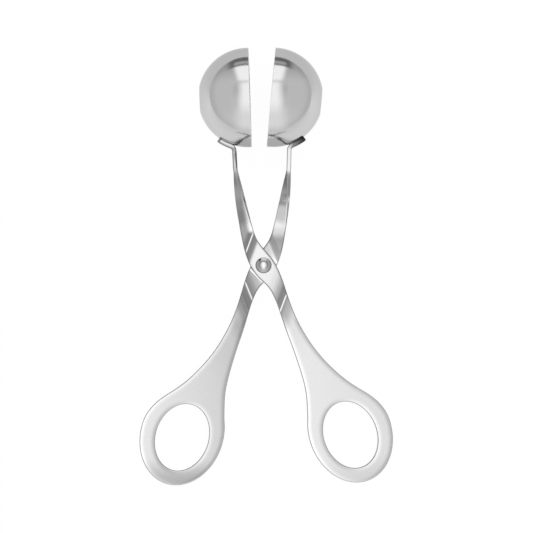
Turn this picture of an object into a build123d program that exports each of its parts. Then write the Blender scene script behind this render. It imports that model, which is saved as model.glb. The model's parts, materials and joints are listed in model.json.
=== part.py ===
from build123d import *
from math import asin, atan2, cos, degrees, hypot, radians, sin, sqrt
import os

# Meatball tongs: two stamped steel arms crossed on one rivet, each carrying a drawn half-ball cup.
#
# The tongs are first built flat: the origin is the pivot, +Y runs to the cups, +X to the right and +Z to
# the viewer. The front arm has its cup on the left and its finger loop on the right. The outline of an
# arm is written for the closed tongs, then each arm is turned by half of the opening. At the end the
# whole tool is laid down as it rests on a table, on its two cups and the far ends of its loops.

os.makedirs("parts", exist_ok=True)

# Driving sizes, millimetres and degrees

sheet = 2.0  # thickness of the arms' sheet
edge_round = 0.45  # rounding along the stamped edges
face_gap = 0.05  # running clearance between the two arms at the pivot

loop_out = 33.5  # centre of the loop, sideways from the pivot with the tongs closed
loop_down = 78.5  # centre of the loop, below the pivot
loop_half_width = 18.8
loop_half_length = 23.7
loop_lean = 16.5
hole_half_width = 12.0
hole_half_length = 15.55
hole_lean = 16.0
hole_drop = 1.45  # the finger hole sits this much below the loop's centre

neck_out = 6.5  # foot of the twisted neck, sideways from the pivot
neck_up = 17.0  # foot of the twisted neck, above the pivot
neck_lean = 8.8
neck_straighten = 5.2  # the neck curves back by this while it twists
neck_root_width = 5.8
neck_width = 5.0
twist_length = 27.0
twist_turn = 90.0
neck_lead = 1.0  # from the end of the twist to the bend that stands the neck upright
upright_lean = 1.4  # above that bend the neck leans in towards the centre line
neck_bend_radius = 12.0
neck_rise = 9.77  # the upright end of the neck, up to the corner of the tab's bend
tab_bend_radius = 2.5
tab_arc = 20.0  # how far the tab follows the cup, from the corner of its bend
tab_tip_radius = 3.2
tip_trim = 0.1  # cut off the end of the tab, so that its whole tip is round
coin_depth = 0.2  # how deep the tab's inner face is coined to the cup

crease_lean = 24.8  # the creases of the joggle lean by this from the tool's centre line
upper_flat = 5.9  # from the pivot to the ramp towards the cup
lower_flat = 10.7  # from the pivot to the ramp towards the handle
ramp_run = 3.4

cup_radius = 22.6
cup_wall = 0.9
cup_collar = 1.18  # straight band between the ball and the rim
cup_floor_dip = 0.85  # the flat at the cup's bottom lies this much inside the ball
cup_floor_round = 3.0
cup_rim_round = 0.25
meet_gap = 0.2  # between the two rims with the tongs closed
meet_shift = 0.16  # the cups meet this much left of the centre line
meet_lean = 2.5  # and on a plane whose top leans this much to the right
weld_gap = 0.02  # between a cup and the tab that carries it

rivet_radius = 2.0
rivet_running_gap = 0.04
rivet_seat_gap = 0.04
head_radius = 3.65
head_rim = 0.35
head_height = 1.05
head_edge_round = 0.12
dimple_radius = 2.0
dimple_depth = 0.45
tail_radius = 3.3
tail_rim = 0.3
tail_height = 1.0

half_open = 3.5  # each arm is turned by this from the closed pose

# How finely the formed places are built

ramp_bend_share = 0.4  # the part of a ramp's run in which it bends into the raised flat
ramp_bend_steps = 6
twist_steps = 9
root_fade = 6  # how fast the neck loses the extra width of its root
overrun = 1.0  # how far a cutting form passes what it cuts

# Places worked out from the sizes

joggle_step = (sheet + face_gap) / 2
neck_foot = Vector(-neck_out, neck_up)
neck_way = Vector(-sin(radians(neck_lean)), cos(radians(neck_lean)))
neck_side = Vector(neck_way.Y, -neck_way.X)
neck_line = JernArc(neck_foot, neck_way, twist_length / radians(neck_straighten), -neck_straighten)
neck_head = neck_line @ 1
head_way = neck_line % 1
neck_turn = neck_head + head_way * neck_lead  # from here the neck stands upright
upright_way = Vector(sin(radians(upright_lean)), cos(radians(upright_lean)))
seat_reach = cup_radius - coin_depth + sheet / 2  # from a cup's centre to the middle of its tab's sheet
sheet_reach = loop_out + loop_down + loop_half_length + neck_up

# The outline of an arm

# Each edge has its points as shares of the neck's foot (above the pivot) or of the loop's centre (below).
upper_right_shares = [(-0.285, 0.676), (0.555, 0.198)]
lower_right_shares = [(0.202, -0.038), (0.298, -0.188), (0.383, -0.309), (0.491, -0.415), (0.649, -0.53)]
lower_right_shares += [(0.774, -0.599), (0.932, -0.672), (1.114, -0.738), (1.323, -0.803)]
upper_left_shares = [(-1.357, 0.709), (-1.048, 0.132)]
lower_left_shares = [(-0.081, -0.068), (0.041, -0.128), (0.118, -0.198), (0.227, -0.372), (0.305, -0.487)]
lower_left_shares += [(0.359, -0.574), (0.417, -0.684), (0.442, -0.767), (0.439, -0.873)]

loop_arc_start = 150.0
loop_arc = 209.0
end_pulls = [1.0, 1.0]


def edge_spots(upper_shares, lower_shares):
    upper = [(x * neck_out, y * neck_up) for x, y in upper_shares]
    lower = [(x * loop_out, y * loop_down) for x, y in lower_shares]
    return upper + lower


def build_blank():
    with BuildPart() as blank:
        with BuildSketch(Plane.XY.offset(-sheet / 2)):
            with BuildLine():
                loop = EllipticalCenterArc(
                    (loop_out, -loop_down),
                    loop_half_width,
                    loop_half_length,
                    loop_arc_start,
                    arc_size=loop_arc,
                    rotation=loop_lean,
                )
                foot_left = neck_foot - neck_side * (neck_root_width / 2)
                foot_right = neck_foot + neck_side * (neck_root_width / 2)
                left = edge_spots(upper_left_shares, lower_left_shares)
                right = edge_spots(upper_right_shares, lower_right_shares)
                # Ends of unit pull, so that the edges run into the loop without a kink
                left_ends = [-neck_way, loop % 0]
                right_ends = [-neck_way, loop % 1 * -1]
                Spline([foot_left] + left + [loop @ 0], tangents=left_ends, tangent_scalars=end_pulls)
                Spline([foot_right] + right + [loop @ 1], tangents=right_ends, tangent_scalars=end_pulls)
                Line(foot_left, foot_right)
            make_face()
            with Locations((loop_out, -loop_down - hole_drop)):
                Ellipse(hole_half_width, hole_half_length, rotation=hole_lean, mode=Mode.SUBTRACT)
        extrude(amount=sheet)
        neck_end = blank.faces().filter_by(Axis.Z, reverse=True).filter_by(GeomType.PLANE)
        faces = blank.faces().filter_by(Axis.Z)
        fillet(faces.edges() - neck_end.edges(), edge_round)
        with BuildSketch(Plane.XY.offset(-sheet / 2)):
            Circle(rivet_radius + rivet_running_gap)
        extrude(amount=sheet, mode=Mode.SUBTRACT)
    return blank.part


def crease_plane(distance):
    lean = radians(crease_lean)
    up = Vector(-cos(lean), sin(lean))
    return Plane(origin=up * distance, x_dir=(sin(lean), cos(lean), 0), z_dir=up)


def build_level(blank, lower, upper, lift):
    with BuildPart() as level:
        add(blank)
        split(bisect_by=crease_plane(lower), keep=Keep.TOP)
        split(bisect_by=crease_plane(upper), keep=Keep.BOTTOM)
    return level.part.moved(Location((0, 0, lift)))


def ramp_stations():
    # A straight slope, then a bend whose slope falls evenly to nothing
    straight = 1 - ramp_bend_share
    slope = 2 / (1 + straight)
    stations = [(0, 0)]
    for step in range(ramp_bend_steps + 1):
        into = ramp_bend_share * step / ramp_bend_steps
        stations.append((straight + into, slope * (straight + into - into**2 / (2 * ramp_bend_share))))
    return stations


def build_ramp(blank, foot, top):
    cuts = []
    for along, lift in ramp_stations():
        cutter = Face.make_rect(sheet_reach, sheet_reach, crease_plane(foot + (top - foot) * along))
        cut = blank.intersect(cutter).faces()[0]
        cuts.append(cut.moved(Location((0, 0, joggle_step * lift))))
    with BuildPart() as ramp:
        loft(cuts, ruled=True)
    return ramp.part


def build_plate():
    blank = build_blank()
    upper_foot = upper_flat + ramp_run
    lower_foot = -lower_flat - ramp_run
    with BuildPart() as plate:
        add(build_level(blank, upper_foot, sheet_reach, 0))
        add(build_ramp(blank, upper_foot, upper_flat))
        add(build_level(blank, -lower_flat, upper_flat, joggle_step))
        add(build_ramp(blank, lower_foot, -lower_flat))
        add(build_level(blank, -sheet_reach, lower_foot, 0))
    return plate.part


def build_twist():
    with BuildPart() as twist:
        for step in range(twist_steps + 1):
            share = step / twist_steps
            turn = radians(twist_turn * share)
            way = neck_line % share
            side = Vector(way.Y, -way.X) * cos(turn) + Vector(0, 0, sin(turn))
            width = neck_width + (neck_root_width - neck_width) * (1 - share) ** root_fade
            with BuildSketch(Plane(origin=neck_line @ share, x_dir=side, z_dir=way)):
                RectangleRounded(width, sheet, edge_round)
        loft()
    return twist.part


def bend_corner_under(cup_spot):
    # Where the neck's upright end, drawn on, meets the circle that the tab follows round the cup
    offset = cup_spot - neck_turn
    aside = offset.X * upright_way.Y - offset.Y * upright_way.X
    return neck_turn + upright_way * (offset.dot(upright_way) - sqrt(seat_reach**2 - aside**2))


def build_tab(cup_spot):
    bend_corner = bend_corner_under(cup_spot)
    start = degrees(atan2(bend_corner.Y - cup_spot.Y, bend_corner.X - cup_spot.X))
    tip_way = Vector(cos(radians(start - tab_arc)), sin(radians(start - tab_arc)))
    with BuildPart() as tab:
        with BuildLine() as path:
            Polyline(neck_head, neck_turn, bend_corner)
            CenterArc(cup_spot, seat_reach, start, -tab_arc)
            fillet(path.vertices().sort_by_distance(bend_corner)[0], tab_bend_radius)
            fillet(path.vertices().sort_by_distance(neck_turn)[0], neck_bend_radius)
        with BuildSketch(Plane(origin=neck_head, x_dir=(0, 0, 1), z_dir=head_way)):
            Rectangle(neck_width, sheet)
        sweep()
        # Seen from the cup's centre, the tip is one round
        tip = Plane(origin=cup_spot + tip_way * (seat_reach - sheet), x_dir=(0, 0, 1), z_dir=tip_way)
        with BuildSketch(tip):
            with Locations((0, -tab_tip_radius - tip_trim)):
                Rectangle(neck_width + overrun, tab_tip_radius + overrun, align=(Align.CENTER, Align.MIN))
                Circle(tab_tip_radius, mode=Mode.SUBTRACT)
        extrude(amount=sheet + sheet, mode=Mode.SUBTRACT)
        root = tab.faces().sort_by_distance(neck_head)[0]
        across = tab.edges().filter_by(GeomType.LINE).filter_by(Axis.Z)
        fillet(tab.edges() - root.edges() - across, edge_round)
    return tab.part


def build_arm(stamping, cup_spot):
    with BuildPart() as arm:
        add(stamping)
        add(build_tab(cup_spot))
        with Locations(cup_spot):
            Sphere(cup_radius + weld_gap, mode=Mode.SUBTRACT)
    return arm.part


def build_cup():
    outer_floor = cup_radius - cup_floor_dip
    inner_floor = outer_floor - cup_wall
    inner_radius = cup_radius - cup_wall
    outer_corner = atan2(outer_floor, sqrt(cup_radius**2 - outer_floor**2))
    inner_corner = atan2(inner_floor, sqrt(inner_radius**2 - inner_floor**2))
    with BuildPart() as cup:
        with BuildSketch(Plane.XZ) as wall:
            with BuildLine():
                outside = CenterArc((0, 0), cup_radius, 0, degrees(outer_corner))
                inside = CenterArc((0, 0), inner_radius, 0, degrees(inner_corner))
                Polyline(outside @ 1, (0, outer_floor), (0, inner_floor), inside @ 1)
                Polyline(outside @ 0, (cup_radius, -cup_collar), (inner_radius, -cup_collar), inside @ 0)
            make_face()
            rim = wall.vertices().group_by(Axis.Y)[0]
            fillet(rim, cup_rim_round)
            fillet(wall.vertices().sort_by_distance(outside @ 1)[0], cup_floor_round)
            fillet(wall.vertices().sort_by_distance(inside @ 1)[0], cup_floor_round)
        revolve(axis=Axis.Z)
    return cup.part


def ball_radius(reach, rise):
    return (reach**2 + rise**2) / (rise + rise)


def build_rivet():
    front = sheet + face_gap / 2
    back = -front - rivet_seat_gap
    crown = front + head_height
    dimple_ball = ball_radius(dimple_radius, dimple_depth)
    dome_ball = ball_radius(tail_radius, tail_height - tail_rim)
    dimple_turn = degrees(asin(dimple_radius / dimple_ball))
    dome_turn = degrees(asin(tail_radius / dome_ball))
    with BuildPart() as rivet:
        with BuildSketch(Plane.XZ) as half:
            with BuildLine():
                dimple = CenterArc((0, crown - dimple_depth + dimple_ball), dimple_ball, -90, dimple_turn)
                dome = CenterArc((0, back - tail_height + dome_ball), dome_ball, -90, dome_turn)
                shoulder = Vector(head_radius, front + head_rim)
                Polyline(dimple @ 1, shoulder, (head_radius, front), (rivet_radius, front))
                Polyline((rivet_radius, front), (rivet_radius, back), (tail_radius, back), dome @ 1)
                Line(dimple @ 0, dome @ 0)
            make_face()
            fillet(half.vertices().sort_by_distance(dimple @ 1)[0], head_edge_round)
            fillet(half.vertices().sort_by_distance(shoulder)[0], head_edge_round)
            fillet(half.vertices().sort_by_distance(dome @ 1)[0], head_edge_round)
        revolve(axis=Axis.Z)
    return rivet.part


# The stamping is made once, and each half of the tongs carries one with a cup. Lying flat, the front half
# is on the one plane and the back half on the same plane turned over, each turned by half of the opening.

with BuildPart() as stamping:
    add(build_plate())
    add(build_twist())

cup_shell = build_cup()
flat_rivet = build_rivet()


def build_half(plane, cup_spot, cup_way):
    with BuildPart(plane) as arm:
        add(build_arm(stamping.part, cup_spot))
    with BuildPart(plane) as cup:
        with Locations(Plane(origin=cup_spot, z_dir=cup_way)):
            add(cup_shell)
    return arm.part, cup.part


left_way = Vector(-cos(radians(meet_lean)), sin(radians(meet_lean)))
mouth_to_meeting = cup_collar + meet_gap / 2
left_x = -meet_shift + left_way.X * mouth_to_meeting
left_corner = neck_turn + upright_way * neck_rise
left_spot = Vector(left_x, left_corner.Y + sqrt(seat_reach**2 - (left_corner.X - left_x) ** 2))
right_spot = left_spot - left_way * (2 * mouth_to_meeting)

front_plane = Plane.XY.rotated((0, 0, half_open))
back_plane = Plane(origin=(0, 0, 0), x_dir=(-1, 0, 0), z_dir=(0, 0, -1)).rotated((0, 0, -half_open))
flat_front_arm, flat_left_cup = build_half(front_plane, left_spot, left_way)
right_spot_behind = Vector(-right_spot.X, right_spot.Y)
right_way_behind = Vector(left_way.X, -left_way.Y)
flat_back_arm, flat_right_cup = build_half(back_plane, right_spot_behind, right_way_behind)

# Lying down, the far edges of the loops and the balls of the cups touch the table: one tilt about X does
# it, found from the lever between the two contacts and from their heights

tail_end = -flat_front_arm.bounding_box().min.Y
cup_height = front_plane.from_local_coords(left_spot).Y
lever = cup_height + tail_end - edge_round
drop = sheet / 2 - edge_round
tilt = degrees(asin((cup_radius - edge_round) / hypot(lever, drop)) - atan2(drop, lever))
laid_plane = Plane.XY.rotated((tilt, 0, 0))

flat_halves = [flat_front_arm, flat_back_arm, flat_left_cup, flat_right_cup]
box = Compound([shape.moved(laid_plane.location) for shape in flat_halves]).bounding_box()
rest_plane = Plane(
    origin=(-box.center().X, -box.center().Y, -box.min.Z),
    x_dir=(1, 0, 0),
    z_dir=laid_plane.z_dir,
)

with BuildPart(rest_plane) as front_arm:
    add(flat_front_arm)
front_arm.part.label = "front_arm"

with BuildPart(rest_plane) as back_arm:
    add(flat_back_arm)
back_arm.part.label = "back_arm"

with BuildPart(rest_plane) as left_cup:
    add(flat_left_cup)
left_cup.part.label = "left_cup"

with BuildPart(rest_plane) as right_cup:
    add(flat_right_cup)
right_cup.part.label = "right_cup"

with BuildPart(rest_plane) as pivot_rivet:
    add(flat_rivet)
pivot_rivet.part.label = "pivot_rivet"

export_step(front_arm.part, "parts/front_arm.step")
export_step(back_arm.part, "parts/back_arm.step")
export_step(left_cup.part, "parts/left_cup.step")
export_step(right_cup.part, "parts/right_cup.step")
export_step(pivot_rivet.part, "parts/pivot_rivet.step")
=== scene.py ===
import json
import math

import bpy
from mathutils import Matrix, Vector

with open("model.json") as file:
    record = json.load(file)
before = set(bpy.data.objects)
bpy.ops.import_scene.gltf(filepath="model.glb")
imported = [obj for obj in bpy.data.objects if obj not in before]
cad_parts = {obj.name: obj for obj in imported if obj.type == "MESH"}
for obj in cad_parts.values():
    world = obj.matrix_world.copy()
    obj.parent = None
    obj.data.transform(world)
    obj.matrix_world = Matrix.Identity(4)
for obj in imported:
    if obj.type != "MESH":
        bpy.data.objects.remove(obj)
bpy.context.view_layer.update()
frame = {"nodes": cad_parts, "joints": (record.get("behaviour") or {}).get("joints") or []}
nodes = frame["nodes"]

# Meatball tongs lying on a white table, seen square on to the plane of their arms

# Sizes and places from the frame, in metres

joint = frame["joints"][0]
pivot = Vector(joint["pos_m"])
half_open = math.radians(joint["range_deg"][1] / 2)  # each arm is turned by this from the closed pose
upward = Vector(joint["axis"]).normalized()  # square to the plane of the arms, out of their front
sideways = Vector((1, 0, 0))
along = upward.cross(sideways)  # from the loops to the cups, in the plane of the arms
mm = 1000.0  # in a metre

# The camera, set so that the pivot and the scale fall where the photograph has them

photo_side = 533.0  # pixels
photo_pivot = Vector((263.54, 265.28))  # pixels
photo_scale = 2196.0  # pixels for each metre in the plane of the arms
photo_roll = 0.873  # degrees
camera_distance = 0.9
sensor = 36.0  # millimetres


def make_camera():
    roll = Matrix.Rotation(math.radians(-photo_roll), 3, upward)
    right = roll @ sideways
    top = roll @ along
    off_centre = (photo_pivot - Vector((photo_side / 2, photo_side / 2))) / photo_scale
    target = pivot - right * off_centre.x + top * off_centre.y
    data = bpy.data.cameras.new("camera")
    data.sensor_width = sensor
    data.lens = sensor * camera_distance * photo_scale / photo_side
    camera = bpy.data.objects.new("camera", data)
    turn = Matrix((right, top, upward)).transposed().to_4x4()
    camera.matrix_world = Matrix.Translation(target + upward * camera_distance) @ turn
    bpy.context.scene.collection.objects.link(camera)
    bpy.context.scene.camera = camera


# Short ways to write shader nodes: a value is a number, a vector or another node's socket


def feed(tree, socket, value):
    if isinstance(value, bpy.types.NodeSocket):
        tree.links.new(value, socket)
    else:
        socket.default_value = value


def maths(tree, operation, first, second=0.0):
    node = tree.nodes.new("ShaderNodeMath")
    node.operation = operation
    feed(tree, node.inputs[0], first)
    feed(tree, node.inputs[1], second)
    return node.outputs[0]


def product(tree, *values):
    result = values[0]
    for value in values[1:]:
        result = maths(tree, "MULTIPLY", result, value)
    return result


def length(tree, first, second):
    # Of a step whose two parts, square to each other, are given
    first_square = maths(tree, "POWER", first, 2.0)
    second_square = maths(tree, "POWER", second, 2.0)
    return maths(tree, "SQRT", maths(tree, "ADD", first_square, second_square))


def vector_maths(tree, operation, first, second=(0, 0, 0)):
    node = tree.nodes.new("ShaderNodeVectorMath")
    node.operation = operation
    feed(tree, node.inputs[0], first)
    feed(tree, node.inputs[1], second)
    return node.outputs["Value" if operation == "DOT_PRODUCT" else "Vector"]


def reach(tree, vector, way):
    # How far a vector goes along a way
    return vector_maths(tree, "DOT_PRODUCT", vector, tuple(way))


def rise(tree, value, start, end, low=0.0, high=1.0):
    # From low to high, smoothly, as the value goes from start to end, whichever of the two is larger
    node = tree.nodes.new("ShaderNodeMapRange")
    node.interpolation_type = "SMOOTHSTEP"
    feed(tree, node.inputs["Value"], value)
    feed(tree, node.inputs["From Min"], start)
    feed(tree, node.inputs["From Max"], end)
    feed(tree, node.inputs["To Min"], low)
    feed(tree, node.inputs["To Max"], high)
    return node.outputs["Result"]


def blend(tree, share, first, second):
    # From the first value to the second, by the share
    node = tree.nodes.new("ShaderNodeMix")
    feed(tree, node.inputs["Factor"], share)
    feed(tree, node.inputs["A"], first)
    feed(tree, node.inputs["B"], second)
    return node.outputs["Result"]


def stops(tree, value, marks):
    # A run of levels: each mark is a place on the value's scale and the level there
    low = marks[0][0]
    high = marks[-1][0]
    node = tree.nodes.new("ShaderNodeValToRGB")
    node.color_ramp.interpolation = "EASE"
    while len(node.color_ramp.elements) < len(marks):
        node.color_ramp.elements.new(0.5)  # goes to its own place below
    for element, (spot, level) in zip(node.color_ramp.elements, marks):
        element.position = (spot - low) / (high - low)
        element.color = (level, level, level, 1)
    share = maths(tree, "DIVIDE", maths(tree, "SUBTRACT", value, low), high - low)
    tree.links.new(share, node.inputs["Fac"])
    return node.outputs["Color"]


# Shades drawn inside fades

# A fade names one of the places worked out for a surface, and says from where to where on its scale the
# shade comes in. Two more numbers say from how much to how much, where that isn't from none to all of it.


def inside(tree, places, fades):
    return product(tree, *(rise(tree, places[name], *limits) for name, *limits in fades))


def painted(tree, tone, places, marks):
    # Each mark is laid over the tone in turn, inside its fades. Its level is a number or itself a fade.
    for level, fades in marks:
        if isinstance(level, tuple):
            level = inside(tree, places, [level])
        tone = blend(tree, inside(tree, places, fades), tone, level)
    return tone


def scaled(tree, tone, places, share, fades):
    # The tone, times the share inside the fades
    return product(tree, tone, rise(tree, inside(tree, places, fades), 0.0, 1.0, 1.0, share))


# The light: a tent with two soft lamps overhead, and a dark gap between it and the table's far end

tent_level = 0.86
far_tent_level = 0.62
near_tent_level = 0.95
low_tent_share = 0.85  # of its light, where it comes down to the table
smudge_share = 0.88  # of its light, on both sides of the near lamp
lamp_level = 1.55
glow_share = 0.45  # of a lamp's light, round the near lamp
gap_level = 0.2
streak_level = 0.62  # a lighter streak in the gap
under_level = 0.72  # below the table's height

lamp_flare = 0.28  # how much the far lamp widens towards the far end
gap_bend = 0.6  # how much the gap bends back at its sides

# The light is drawn as a polished ball seen from the front of the arms shows it. Aside and ahead are how
# far from the ball's middle it shows a place, as shares of its radius. Height is the sine of how high the
# place stands.

low_tent_limits = (0.3, -0.1)
smudge_fades = [("aside", 0.14, 0.22), ("aside", 0.32, 0.24)]
smudge_fades += [("ahead", -0.32, -0.16), ("ahead", 0.3, 0.14)]
glow_fades = [("aside", 0.37, 0.07, 0.0, glow_share), ("ahead", -0.85, -0.55), ("ahead", 0.15, -0.15)]
gap_fades = [("aside", 0.435, 0.275), ("bow", 0.595, 0.625), ("bow", 0.915, 0.885)]
streak_fades = [("aside", 0.28, 0.22), ("bow", 0.63, 0.66), ("bow", 0.715, 0.685)]

tent_marks = [
    (far_tent_level, [("ahead", 0.25, 0.62)]),
    (near_tent_level, [("ahead", -0.15, -0.6)]),
]
light_marks = [
    (lamp_level, glow_fades),
    (lamp_level, [("slant", 0.15, 0.03), ("ahead", 0.275, 0.325), ("ahead", 0.665, 0.615)]),
    (lamp_level, [("aside", 0.22, 0.04), ("ahead", -0.45, -0.08), ("ahead", 0.32, 0.22)]),
    (gap_level, gap_fades),
    (streak_level, streak_fades + gap_fades),
    (under_level, [("height", -0.1, -0.16)]),
]


def make_world():
    world = bpy.data.worlds.new("studio")
    world.use_nodes = True
    tree = world.node_tree
    way = tree.nodes.new("ShaderNodeTexCoord").outputs["Generated"]
    # The ball shows a way where it faces halfway between that way and the viewer
    facing = vector_maths(tree, "NORMALIZE", vector_maths(tree, "ADD", way, tuple(upward)))
    aside = maths(tree, "ABSOLUTE", reach(tree, facing, sideways))
    ahead = reach(tree, facing, along)
    height = reach(tree, way, (0, 0, 1))
    bend = product(tree, maths(tree, "POWER", aside, 2.0), gap_bend)
    places = {
        "aside": aside,
        "ahead": ahead,
        "height": height,
        "slant": maths(tree, "SUBTRACT", aside, product(tree, ahead, lamp_flare)),
        "bow": maths(tree, "ADD", ahead, bend),
    }
    level = painted(tree, tent_level, places, tent_marks)
    level = product(tree, level, rise(tree, height, *low_tent_limits, 1.0, low_tent_share))
    level = scaled(tree, level, places, smudge_share, smudge_fades)
    level = painted(tree, level, places, light_marks)
    back = tree.nodes["Background"]
    back.inputs["Color"].default_value = (1, 1, 1, 1)
    tree.links.new(level, back.inputs["Strength"])
    bpy.context.scene.world = world


# Materials

grain_detail = 4
grain_height = 0.00002
noise_limits = (0.3, 0.7)  # most of the noise lies between them


def new_material(name, edge_level):
    # Bare steel, whose specular tint at a grazing angle is the edge level
    material = bpy.data.materials.new(name)
    material.use_nodes = True
    tree = material.node_tree
    tree.nodes.clear()
    out = tree.nodes.new("ShaderNodeOutputMaterial")
    shader = tree.nodes.new("ShaderNodeBsdfPrincipled")
    shader.inputs["Metallic"].default_value = 1
    shader.inputs["Specular Tint"].default_value = (edge_level, edge_level, edge_level, 1)
    tree.links.new(shader.outputs["BSDF"], out.inputs["Surface"])
    return material, tree, shader


def dress(node, material):
    for slot in nodes[node].material_slots:
        slot.material = material


def own_way(tree, direction):
    # A direction of the surface in the object's own axes, so that it stays with a piece that moves
    node = tree.nodes.new("ShaderNodeVectorTransform")
    node.vector_type = "NORMAL"
    node.convert_from = "WORLD"
    node.convert_to = "OBJECT"
    tree.links.new(direction, node.inputs["Vector"])
    return node.outputs["Vector"]


def own_normal(tree):
    return own_way(tree, tree.nodes.new("ShaderNodeNewGeometry").outputs["Normal"])


def grain(tree, place, fineness, strength):
    # A fine uneven grain for the roughness and the bump
    noise = tree.nodes.new("ShaderNodeTexNoise")
    noise.inputs["Scale"].default_value = fineness
    noise.inputs["Detail"].default_value = grain_detail
    tree.links.new(place, noise.inputs["Vector"])
    bump = tree.nodes.new("ShaderNodeBump")
    bump.inputs["Strength"].default_value = strength
    bump.inputs["Distance"].default_value = grain_height
    tree.links.new(noise.outputs["Fac"], bump.inputs["Height"])
    return noise.outputs["Fac"], bump.outputs["Normal"]


def coat(tree, shader, tone, roughness, bumpy):
    colour = tree.nodes.new("ShaderNodeCombineColor")
    for channel in ("Red", "Green", "Blue"):
        tree.links.new(tone, colour.inputs[channel])
    tree.links.new(colour.outputs["Color"], shader.inputs["Base Color"])
    tree.links.new(roughness, shader.inputs["Roughness"])
    tree.links.new(bumpy, shader.inputs["Normal"])


# The arms, each drawn in its own axes, as if closed and seen from the face with the cup on the left

arm_edge_level = 0.6
arm_grain = (4000, 0.05)  # fineness and strength
arm_roughness = (0.22, 0.32)

crease_lean = math.radians(24.8)
cup_middle = (-1.12, 76.65)  # millimetres from the pivot, across and up
rounding_samples = 8
rounding_radius = 0.0032

# Painted shade and painted highlights on the flats of an arm, where the photograph shows them lighter or
# darker: by the distance from the pivot square to the creases, and by the height above the pivot, in
# millimetres. In the shades, the pairs of levels over 1 that lie close together are the painted highlights
# on the bright lines of the creases.

front_shades = [(-80, 0.92), (-34, 0.9), (-22, 0.84), (-17, 0.52), (-14.5, 0.36), (-14.4, 1.3)]
front_shades += [(-14.1, 1.3), (-14, 0.46), (-11, 0.44), (-9.8, 0.52), (-8.8, 0.68), (-7, 0.86)]
front_shades += [(-4, 0.97), (5.2, 1), (7.2, 0.5), (8.6, 0.42), (9.35, 0.5), (9.45, 1.25), (9.6, 1.25)]
front_shades += [(9.7, 0.22), (11, 0.24), (13, 0.42), (40, 0.45)]
front_rises = [(-80, 1), (42, 1), (46, 1.7), (51, 1.1), (54, 2.0), (80, 2.0)]

back_shades = [(-80, 0.92), (-45, 0.9), (-27, 0.82), (-20, 0.62), (-17, 0.38), (-15, 0.28), (-13, 0.42)]
back_shades += [(-10.85, 0.42), (-10.75, 1.15), (-10.55, 1.15), (-10.45, 0.27), (-9.5, 0.3)]
back_shades += [(-8.5, 0.36), (-6, 0.56), (-3, 0.85), (5.6, 0.92), (5.7, 1.05), (5.85, 1.05)]
back_shades += [(5.95, 0.8), (9.1, 0.78), (9.4, 0.58), (40, 0.45)]
back_rises = [(-80, 1), (3, 1), (8, 0.8), (11.5, 0.72), (16, 1.4), (22, 1.9), (27, 1.9), (31, 0.9)]
back_rises += [(41.5, 0.9), (44, 2), (80, 2)]

flat_tone = 0.62
flat_limits = (0.8, 0.9)  # a flat faces the viewer at least so much
# Painted shade: the other stretches are darker the more they turn from the viewer
turned_shade_tones = (0.2, 0.5, 0.19, 0.32)  # of the other stretches, by how much they face the viewer

# Painted light and shade on the handles: lighter on the left and darker on the right over the rounded
# edges and across the handle, and darker at its far end

handle_fades = [("up", -22, -28), ("facing", 0.97, 0.99)]
rounded_light = (-0.5, 0.5, 1.34, 0.56)
front_sweep = (10, 58, 1.07, 0.94)
back_sweep = (-56, -16, 1.02, 0.86)
front_end_light = (-88, -100, 1.0, 0.88)
back_end_light = (-88, -100, 1.0, 0.62)

# Painted shade: a dark outline along the rounded edges of both arms, near the pivot

outline_shade_marks = [(0.2, [("edge_facing", 0.84, 0.74), ("up", -18, -14), ("up", 18, 14)])]

# The front arm: a painted highlight along the right of the neck, painted shade on the dark right and the
# grey left side of the neck's upright end, and painted shade on the outer side of the tab

neck_foot = (-6.5, 17)
neck_slope = 0.13
front_painted_light = [
    (0.72, [("beside_neck", -0.4, 2.2), ("up", 14.5, 16.5), ("up", 40, 24), ("facing", 0.7, 0.85)]),
    (0.1, [("up", 43, 46), ("across", -9.3, -8.9), ("up", 57, 54)]),
    (0.22, [("up", 43, 46), ("across", -9.8, -10.1), ("up", 54, 52)]),
    (0.25, [("from_cup", 23.5, 24.1), ("up", 52, 53)]),
]

# The back arm: a painted highlight on the face of the neck, a painted reflection beside the edges of the
# front arm where it crosses, a painted lighter patch higher on the neck, and painted shade on the tab,
# which is less dark at its bend

front_edges = {  # a point on each edge and the edge's way, each beside and ahead of the pivot
    "past_upper_edge": ((2.49, 5.46), (0.573, -0.819)),
    "past_lower_edge": ((-0.5, -6.95), (-0.687, 0.727)),
}
# Painted reflection of the front arm's edges on the back arm
crossing_reflection_level = 0.75
crossing_reflection_fades = [("up", -11, -9), ("up", 4.5, 2.5), ("facing", 0.8, 0.95)]
back_painted_light = [(0.66, [("up", 16, 20), ("up", 30, 26), ("facing", 0.7, 0.85)])]
for past_edge in front_edges:
    beside_edge = [(past_edge, 0.05, 0.25), (past_edge, 0.95, 0.75)]
    back_painted_light.append((crossing_reflection_level, beside_edge + crossing_reflection_fades))
# Painted light: a lighter patch higher on the neck
light_patch_share = 2.2
light_patch_fades = [("up", 27.9, 30.9), ("up", 32.9, 29.9), ("facing", 0.92, 0.82)]
# Painted shade on the tab: nearly black towards its tip, less dark at its bend
tab_shade_tones = ("across", -10.5, -15.5, 0.17, 0.035)
tab_shade_marks = [(tab_shade_tones, [("from_cup", 24.9, 24.5), ("across", -8.6, -11.2), ("up", 50, 52)])]


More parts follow.
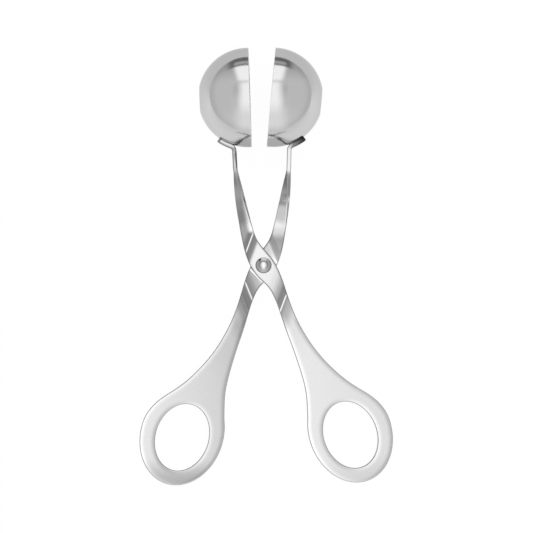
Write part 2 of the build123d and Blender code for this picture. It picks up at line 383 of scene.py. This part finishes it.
def arm_places(tree, place, turn, mirror):
    # Millimetres from the pivot: across, up and from_crease in the arm's own axes, beside and ahead in
    # those of the whole tool. The rest are a distance from the cup's middle, and how the surface and its
    # edges lean.
    here = vector_maths(tree, "SUBTRACT", place, tuple(pivot))
    twist = Matrix.Rotation(turn, 3, upward)
    right = twist @ sideways * mirror * mm
    top = twist @ along * mm
    across = reach(tree, here, right)
    up = reach(tree, here, top)
    from_middle = maths(tree, "SUBTRACT", across, cup_middle[0])
    above_middle = maths(tree, "SUBTRACT", up, cup_middle[1])
    rounded = tree.nodes.new("ShaderNodeBevel")
    rounded.samples = rounding_samples
    rounded.inputs["Radius"].default_value = rounding_radius
    rounded_way = own_way(tree, rounded.outputs["Normal"])
    return {
        "across": across,
        "up": up,
        "from_crease": reach(tree, here, top * math.sin(crease_lean) - right * math.cos(crease_lean)),
        "beside": reach(tree, here, sideways * mm),
        "ahead": reach(tree, here, along * mm),
        "from_cup": length(tree, from_middle, above_middle),
        "facing": maths(tree, "ABSOLUTE", reach(tree, own_normal(tree), upward)),
        "edge_lean": reach(tree, rounded_way, sideways),
        "edge_facing": maths(tree, "ABSOLUTE", reach(tree, rounded_way, upward)),
    }


def arm_tone(tree, places, shades, rises, sweep, end_light):
    # Painted light and shade: by the place on the arm, darker where the sheet turns from the viewer,
    # lighter and darker over the handles, and a dark outline
    shade = stops(tree, places["from_crease"], shades)
    flat = product(tree, shade, stops(tree, places["up"], rises), flat_tone)
    turned = rise(tree, places["facing"], *turned_shade_tones)
    tone = blend(tree, rise(tree, places["facing"], *flat_limits), turned, flat)
    light_fades = [("edge_lean", *rounded_light), ("beside", *sweep), ("up", *end_light)]
    handle_light = inside(tree, places, light_fades)
    light = blend(tree, inside(tree, places, handle_fades), 1.0, handle_light)
    return painted(tree, product(tree, tone, light), places, outline_shade_marks)


def paint_front(tree, tone, places):
    lean = product(tree, maths(tree, "SUBTRACT", places["up"], neck_foot[1]), neck_slope)
    from_foot = maths(tree, "SUBTRACT", places["across"], neck_foot[0])
    places["beside_neck"] = maths(tree, "ADD", from_foot, lean)
    return painted(tree, tone, places, front_painted_light)


def paint_back(tree, tone, places):
    for past_edge, (spot, way) in front_edges.items():
        outward = (-way[1], way[0])
        start = spot[0] * outward[0] + spot[1] * outward[1]
        beside = product(tree, places["beside"], outward[0])
        ahead = product(tree, places["ahead"], outward[1])
        places[past_edge] = maths(tree, "SUBTRACT", maths(tree, "ADD", beside, ahead), start)
    tone = painted(tree, tone, places, back_painted_light)
    tone = scaled(tree, tone, places, light_patch_share, light_patch_fades)
    return painted(tree, tone, places, tab_shade_marks)


def arm_steel(name, turn, mirror, shades, rises, sweep, end_light, paint):
    material, tree, shader = new_material(name, arm_edge_level)
    place = tree.nodes.new("ShaderNodeTexCoord").outputs["Object"]
    places = arm_places(tree, place, turn, mirror)
    tone = paint(tree, arm_tone(tree, places, shades, rises, sweep, end_light), places)
    noise, bumpy = grain(tree, place, *arm_grain)
    coat(tree, shader, tone, rise(tree, noise, *noise_limits, *arm_roughness), bumpy)
    return material


# The cups: the inside and the rim, which face the other cup, are duller than the outside, and lighter by
# painted light

cup_edge_level = 0.78
cup_grain = (3000, 0.05)
cup_tone = 0.55
cup_roughness = (0.1, 0.15)
cup_inside_painted_light = 0.86
cup_inside_roughness = 0.42
cup_inside_limits = (0.1, 0.2)  # the inside and the rim lean towards the other cup at least so much


def cup_steel():
    material, tree, shader = new_material("cup_steel", cup_edge_level)
    place = tree.nodes.new("ShaderNodeTexCoord").outputs["Object"]
    side = maths(tree, "SIGN", reach(tree, place, sideways))
    inward = product(tree, side, reach(tree, own_normal(tree), sideways), -1)
    at_inside = rise(tree, inward, *cup_inside_limits)
    noise, bumpy = grain(tree, place, *cup_grain)
    outside_roughness = rise(tree, noise, *noise_limits, *cup_roughness)
    roughness = blend(tree, at_inside, outside_roughness, cup_inside_roughness)
    coat(tree, shader, blend(tree, at_inside, cup_tone, cup_inside_painted_light), roughness, bumpy)
    return material


# The rivet, in millimetres from its axis

rivet_edge_level = 0.6
rivet_grain = (3000, 0.08)
rivet_roughness = (0.12, 0.2)
# Painted shade: the rivet is darker where its surface turns from the viewer
rivet_shade_tones = (0.9, 0.99, 0.34, 0.68)  # by how much the surface faces the viewer
dimple_shade_fades = [("out", 1.45, 1.95), ("out", 2.45, 1.95), ("up", -2, 1.2, 0.3, 1.0)]
head_edge_shade_fades = [("out", 2.95, 3.25), ("out", 3.75, 3.45), ("up", 2.6, 1.4)]
dark_spot_fades = [("out", 2.4, 2.8), ("out", 3.6, 3.2)]
dark_spot_fades += [("across", -2.45, -1.95), ("across", -0.75, -1.25), ("up", 1.5, 2)]
# Painted shade in the dimple, darker towards its top, and round the edge of the head apart from its top;
# and a dark spot on the flange
rivet_marks = [(0.16, dimple_shade_fades), (0.22, head_edge_shade_fades), (0.04, dark_spot_fades)]


def rivet_steel():
    material, tree, shader = new_material("rivet_steel", rivet_edge_level)
    place = tree.nodes.new("ShaderNodeTexCoord").outputs["Object"]
    here = vector_maths(tree, "SUBTRACT", place, tuple(pivot))
    across = reach(tree, here, sideways * mm)
    up = reach(tree, here, along * mm)
    places = {"across": across, "up": up, "out": length(tree, across, up)}
    tone = rise(tree, reach(tree, own_normal(tree), upward), *rivet_shade_tones)
    tone = painted(tree, tone, places, rivet_marks)
    noise, bumpy = grain(tree, place, *rivet_grain)
    coat(tree, shader, tone, rise(tree, noise, *noise_limits, *rivet_roughness), bumpy)
    return material


front_look = (front_shades, front_rises, front_sweep, front_end_light, paint_front)
back_look = (back_shades, back_rises, back_sweep, back_end_light, paint_back)
dress("front_arm", arm_steel("front_arm_steel", half_open, 1, *front_look))
dress("back_arm", arm_steel("back_arm_steel", -half_open, -1, *back_look))
both_cups_steel = cup_steel()
dress("left_cup", both_cups_steel)
dress("right_cup", both_cups_steel)
dress("pivot_rivet", rivet_steel())

# The table

floor_side = 0.63
floor_far = 0.48  # the far edge, from the middle
floor_tone = 0.8
floor_level = 1.01
floor_white_share = 0.96  # the rest of the floor's look is its own light and shadow

# Painted light and shade on the floor as the steel shows it: by the place along the tongs, lighter beside
# the cups and darker towards its far end, and a painted shadow under the necks

floor_shades = [(-0.3, 0.98), (-0.05, 1.02), (0.01, 1.1), (0.05, 1.15), (0.15, 0.9), (0.48, 0.9)]
necks_shadow_level = 0.74
necks_shadow_fades = [("aside", 0.028, 0.014), ("ahead", -0.006, 0.006), ("ahead", 0.058, 0.046)]


def floor_material():
    material = bpy.data.materials.new("floor")
    material.use_nodes = True
    tree = material.node_tree
    tree.nodes.clear()
    out = tree.nodes.new("ShaderNodeOutputMaterial")
    diffuse = tree.nodes.new("ShaderNodeBsdfDiffuse")
    diffuse.inputs["Color"].default_value = (floor_tone, floor_tone, floor_tone, 1)
    path = tree.nodes.new("ShaderNodeLightPath")
    place = tree.nodes.new("ShaderNodeTexCoord").outputs["Object"]
    ahead = reach(tree, place, (0, 1, 0))
    places = {"ahead": ahead, "aside": maths(tree, "ABSOLUTE", reach(tree, place, sideways))}
    mirrored = painted(tree, stops(tree, ahead, floor_shades), places, [(necks_shadow_level, necks_shadow_fades)])
    white = tree.nodes.new("ShaderNodeEmission")
    level = blend(tree, path.outputs["Is Camera Ray"], mirrored, floor_level)
    tree.links.new(level, white.inputs["Strength"])
    seen = maths(tree, "MAXIMUM", path.outputs["Is Camera Ray"], path.outputs["Is Glossy Ray"])
    seen = maths(tree, "MAXIMUM", seen, path.outputs["Is Transmission Ray"])
    mix = tree.nodes.new("ShaderNodeMixShader")
    tree.links.new(product(tree, seen, floor_white_share), mix.inputs["Fac"])
    tree.links.new(diffuse.outputs["BSDF"], mix.inputs[1])
    tree.links.new(white.outputs["Emission"], mix.inputs[2])
    tree.links.new(mix.outputs["Shader"], out.inputs["Surface"])
    return material


def make_floor():
    half = floor_side / 2
    corners = [(-half, -half, 0), (half, -half, 0), (half, floor_far, 0), (-half, floor_far, 0)]
    mesh = bpy.data.meshes.new("floor")
    mesh.from_pydata(corners, [], [(0, 1, 2, 3)])
    mesh.materials.append(floor_material())
    floor = bpy.data.objects.new("floor", mesh)
    bpy.context.scene.collection.objects.link(floor)


make_floor()
make_world()
make_camera()
bpy.context.scene.view_settings.view_transform = "Standard"
